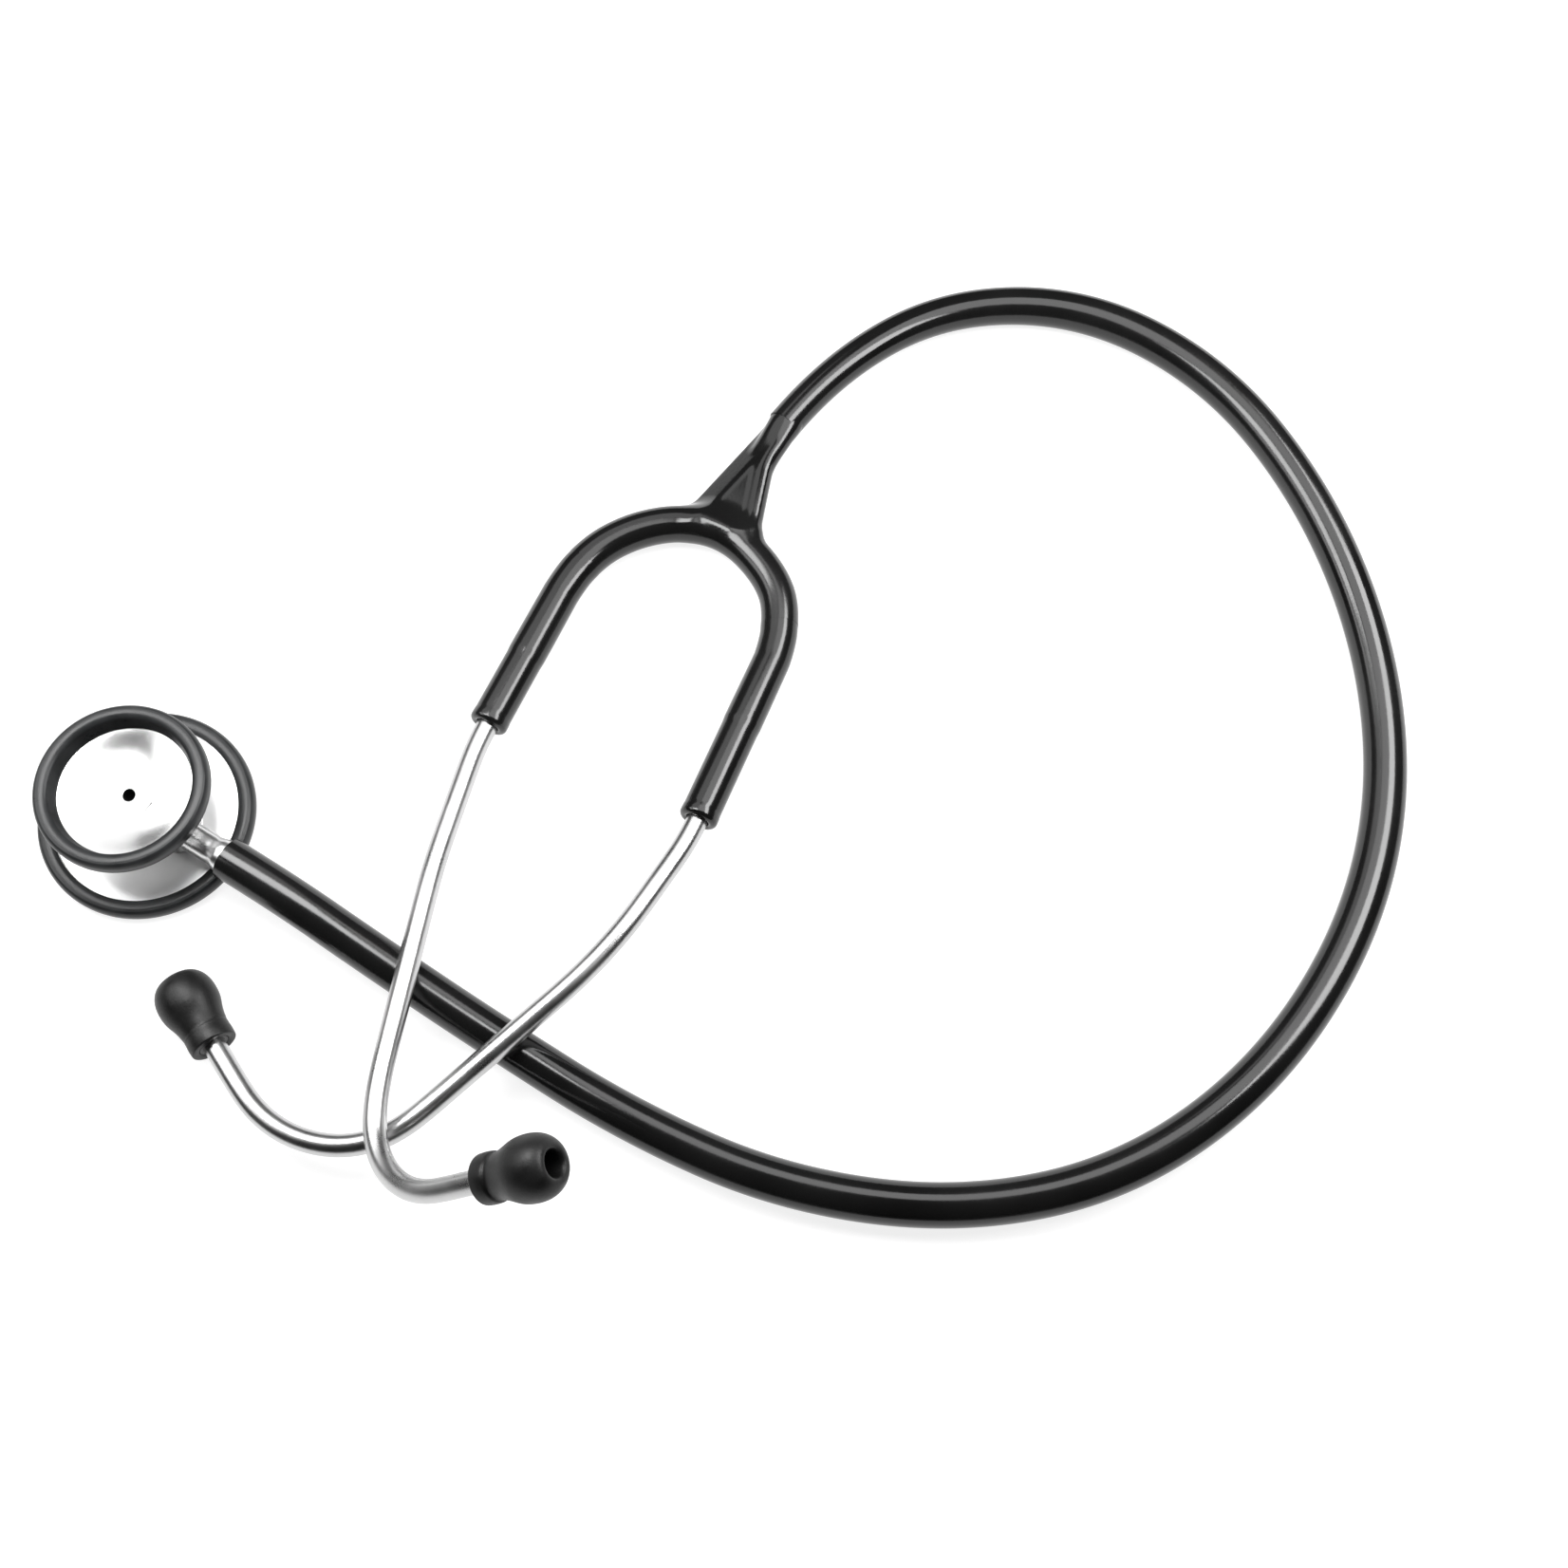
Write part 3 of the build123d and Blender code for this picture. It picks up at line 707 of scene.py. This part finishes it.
# --- eartips ---------------------------------------------------------------------------------------
def make_eartip(side):
    """Soft tip: a collar round the adapter, a neck, and a bulb with its sound channel."""
    axis = Vector(joint(f"{side}_eartip_pull")["axis"]).normalized()
    mount = next(m for m in frame["record"]["mounts"] if m["name"] == f"{side}_ear_canal")
    base = Vector(mount["pos_m"]) - axis * TIP_LENGTH
    mouth = [(3.3, 1.2, 0), (3.3, 0.25, 0.2), (4.0, 0.0, 0.3), (4.95, 0.0, 0.4), (5.05, 1.8, 0.6),
             (4.95, 3.2, 0.35)]
    fill = NECK_FILL[side]
    neck = [(4.6 + fill, 3.55, 0), (4.5 + fill, 3.9, 0), (4.65 + fill, 4.6, 0), (4.95 + 0.6 * fill, 5.8, 0)]
    bulb = [(5.6, 7.6, 0), (6.4, 9.6, 0), (6.62, 12.4, 0), (6.2, 15.0, 0), (5.0, 16.9, 0), (3.6, 17.65, 0)]
    channel = [(2.6, 17.4, 0), (2.45, 15.6, 0), (2.1, 12.6, 0), (1.6, 9.0, 0)]
    profile = mouth + [(r, z, 0) for r, z, _ in line_through(neck + bulb + channel, 8, 4)]
    tip = turned(f"{side}_eartip_skin", profile, MATERIALS["eartip_rubber"], base, axis)
    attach(tip, f"{side}_tip")
    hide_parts(f"{side}_eartip")


# --- head ----------------------------------------------------------------------------------------
def make_head():
    """The turned head: plate, neck, flare and the bell's bowl, down to the sound hole."""
    plate = [(1.0, 2.6, 0), (20.5, 1.35, 0.3), (22.4, 1.05, 0.3), (22.4, 3.0, 0.3), (20.4, 3.45, 0.8),
             (12.0, 4.7, 2.5), (8.0, 6.2, 1.6), (7.1, 8.6, 1.4), (7.2, 11.6, 1.3)]
    flare = [(9.0, 13.6, 1.6), (13.4, 15.4, 2.0), (16.6, 17.3, 1.0), (17.2, 18.8, 0.6), (17.2, 21.0, 0.3)]
    rim = [(15.85, 21.0, 0.1), (15.8, 19.85, 0.1), (15.36, 19.7, 0.1), (14.8, 17.6, 0)]
    dish = line_through([(14.6, 17.5, 0), (13.6, 17.25, 0), (11.8, 16.7, 0), (9.4, 16.05, 0),
                         (6.6, 15.5, 0), (3.6, 15.15, 0), (1.6, 15.04, 0)], 8, 4)
    hole = [(1.4, 15.0, 0.1), (1.25, 14.8, 0.1), (1.25, 11.0, 0)]
    bowl = rim + [(r, z, 0) for r, z, _ in dish] + hole
    head = turned("head_casting", plate + flare + bowl, MATERIALS["polished_metal"])
    paint(head, MATERIALS["satin_metal"], lambda r, z: z < PLATE_TOP and r > PLATE_INNER)
    # the bowl gets the darker copy of the chrome: painted shade over its satin finish
    paint(head, MATERIALS["bowl_shaded_metal"], lambda r, z: SOUND_HOLE_R < r < BOWL_R and z > BOWL_BOTTOM)
    # the sound hole's wall and floor are painted dark: painted shade of the recess
    paint(head, MATERIALS["bore_painted_shade"], lambda r, z: r < SOUND_HOLE_R and z > PLATE_TOP)
    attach(head, "head")
    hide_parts("head_body")


def make_stem_boss():
    """The head's boss, in which the stem turns."""
    profile = [(5.6, 5.4, 0), (5.15, 6.6, 0.8), (5.0, 8.6, 0.8), (5.0, 13.8, 0.5), (4.5, 14.5, 0.4),
               (2.7, 14.5, 0.2), (2.65, 12.0, 0)]
    boss = turned("stem_boss", profile, MATERIALS["stem_metal"], (0, 0, STEM_Z), STEM_DIRECTION)
    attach(boss, "head")


def make_rings():
    """Non-chill rings of the bell and the diaphragm, closed sections turned about the head's axis."""
    bell_profile = [
        (17.25, 17.6, 0.1), (18.1, 17.6, 0.25), (18.7, 18.3, 0.5), (18.7, 20.6, 0.7), (18.1, 21.55, 0.5),
        (17.3, 21.8, 0.5), (16.2, 21.75, 0.5), (15.35, 21.2, 0.4), (15.1, 20.2, 0.4), (14.5, 17.75, 0.1),
        (14.7, 17.62, 0.05), (15.3, 19.9, 0.1), (15.75, 20.0, 0.1), (15.75, 21.06, 0.05),
        (17.25, 21.06, 0.05),
    ]
    diaphragm_profile = [
        (20.2, 0.16, 0.1), (22.6, 0.15, 0.3), (23.6, 0.6, 0.5), (24.0, 1.6, 0.6), (24.0, 3.1, 0.7),
        (23.4, 4.15, 0.5), (22.5, 4.5, 0.5), (21.2, 4.45, 0.5), (20.45, 4.05, 0.3), (20.4, 3.5, 0.1),
        (22.45, 3.08, 0.05), (22.45, 0.57, 0.05), (20.2, 0.57, 0.05),
    ]
    for node, profile in (("bell_ring", bell_profile), ("diaphragm_ring", diaphragm_profile)):
        ring = turned(f"{node}_skin", profile, MATERIALS["ring_rubber"], looped=True)
        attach(ring, "head")
        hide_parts(node)


def make_stem():
    """The stem from inside the boss to its barbed end inside the tube."""
    profile = [(2.58, 12.0, 0), (2.58, 14.8, 0.1), (3.1, 14.85, 0.15), (3.3, 15.2, 0.25), (3.3, 21.4, 0.8),
               (3.75, 22.9, 0.5), (3.8, 24.5, 0.2), (2.6, 24.6, 0.1),
               (2.6, 27.5, 0.2), (2.75, 27.6, 0.1), (2.55, 30.6, 0.2), (2.5, 32.6, 0.3), (1.5, 32.6, 0.1),
               (1.5, 26.0, 0)]
    stem = turned("stem_skin", profile, MATERIALS["stem_metal"], (0, 0, STEM_Z), STEM_DIRECTION)
    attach(stem, "root")
    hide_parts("stem")


# --- the detent's spring -----------------------------------------------------------------------------
def make_detent_spring():
    """Coil between the screw and the ball, as long as the CAD spring."""
    box_low, box_high = (np.array(corner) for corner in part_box("detent_spring"))
    middle = (box_low + box_high) / 2
    radius = (box_high[0] - box_low[0]) / 2 - COIL_WIRE_R
    low, high = box_low[2] + COIL_WIRE_R, box_high[2] - COIL_WIRE_R
    steps = 30 * COIL_TURNS
    line = []
    for k in range(steps + 1):
        a = 2 * pi * COIL_TURNS * k / steps
        line.append((middle[0] + radius * cos(a), middle[1] + radius * sin(a),
                     low + (high - low) * k / steps))
    line = np.array(line)
    total = lengths_along(line)[-1]
    stations = [(s, COIL_WIRE_R) for s in np.linspace(0, total, steps + 1)]
    coil = rings_along("detent_spring_skin", line, stations, MATERIALS["plain_steel"], 12)
    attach(coil, "head")
    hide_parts("detent_spring")
    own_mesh(coil)


# --- CAD nodes that stay ----------------------------------------------------------------------------
def dress_cad_nodes():
    """Gives every CAD node the material of the slot that the record states for it."""
    slots = {s["node"]: s["material_slot"] for s in frame["record"]["subparts"]}
    for name, node in frame["nodes"].items():
        node.data.materials.clear()
        node.data.materials.append(MATERIALS[slots[name]])


# --- light and floor ----------------------------------------------------------------------------------
def make_world():
    """A dark grey room, darkest above the -Y side and least dark on the +Y side and at the horizon."""
    world = bpy.data.worlds.new("studio")
    bpy.context.scene.world = world
    world.use_nodes = True
    nodes, links = world.node_tree.nodes, world.node_tree.links
    place = nodes.new("ShaderNodeTexCoord").outputs["Generated"]
    parts = nodes.new("ShaderNodeSeparateXYZ")
    links.new(place, parts.inputs[0])
    wall = ranged(nodes, links, parts.outputs[1], LEAST, MOST, WALL_SPAN, "SMOOTHSTEP")
    horizon = ranged(nodes, links, parts.outputs[2], MOST, 0, HORIZON_SPAN, "SMOOTHSTEP")
    strength = number(nodes, links, "MAXIMUM", wall, horizon)
    links.new(strength, nodes["Background"].inputs["Strength"])


def softbox(name, middle, size, radiance):
    """A rectangle of light that faces straight down, and that the camera doesn't see."""
    data = bpy.data.lights.new(name, "AREA")
    data.shape = "RECTANGLE"
    data.size, data.size_y = size
    data.energy = radiance * pi * size[0] * size[1]
    light = bpy.data.objects.new(name, data)
    light.location = (*middle, SOFTBOX_Z)
    light.visible_camera = False
    bpy.context.scene.collection.objects.link(light)


def make_floor():
    """Pale table that glows faintly, so the shadows on it stay faint."""
    material = surface("floor_paper", grey(0.24), grey(0.27), (0.75, 0.9), broad=6, fine=400,
                       fine_depth=0.00001)
    shader = material.node_tree.nodes["Principled BSDF"]
    shader.inputs["Emission Color"].default_value = (1, 1, 1, 1)
    shader.inputs["Emission Strength"].default_value = TABLE_GLOW
    half = TABLE_HALF
    floor = add_mesh("floor", [(-half, -half, 0), (half, -half, 0), (half, half, 0), (-half, half, 0)],
                     [(0, 1, 2, 3)], material)


make_camera()
make_main_tube()
arch_line = make_yoke()
for arm_side in ("left", "right"):
    make_arm_skin(arm_side, arch_line)
    make_ear_tube(arm_side)
    make_eartip(arm_side)
make_head()
make_stem_boss()
make_rings()
make_stem()
make_detent_spring()
dress_cad_nodes()
make_world()
for box_name, box in SOFTBOXES.items():
    softbox(box_name, *box)
make_floor()
bpy.context.scene.view_settings.view_transform = "Standard"
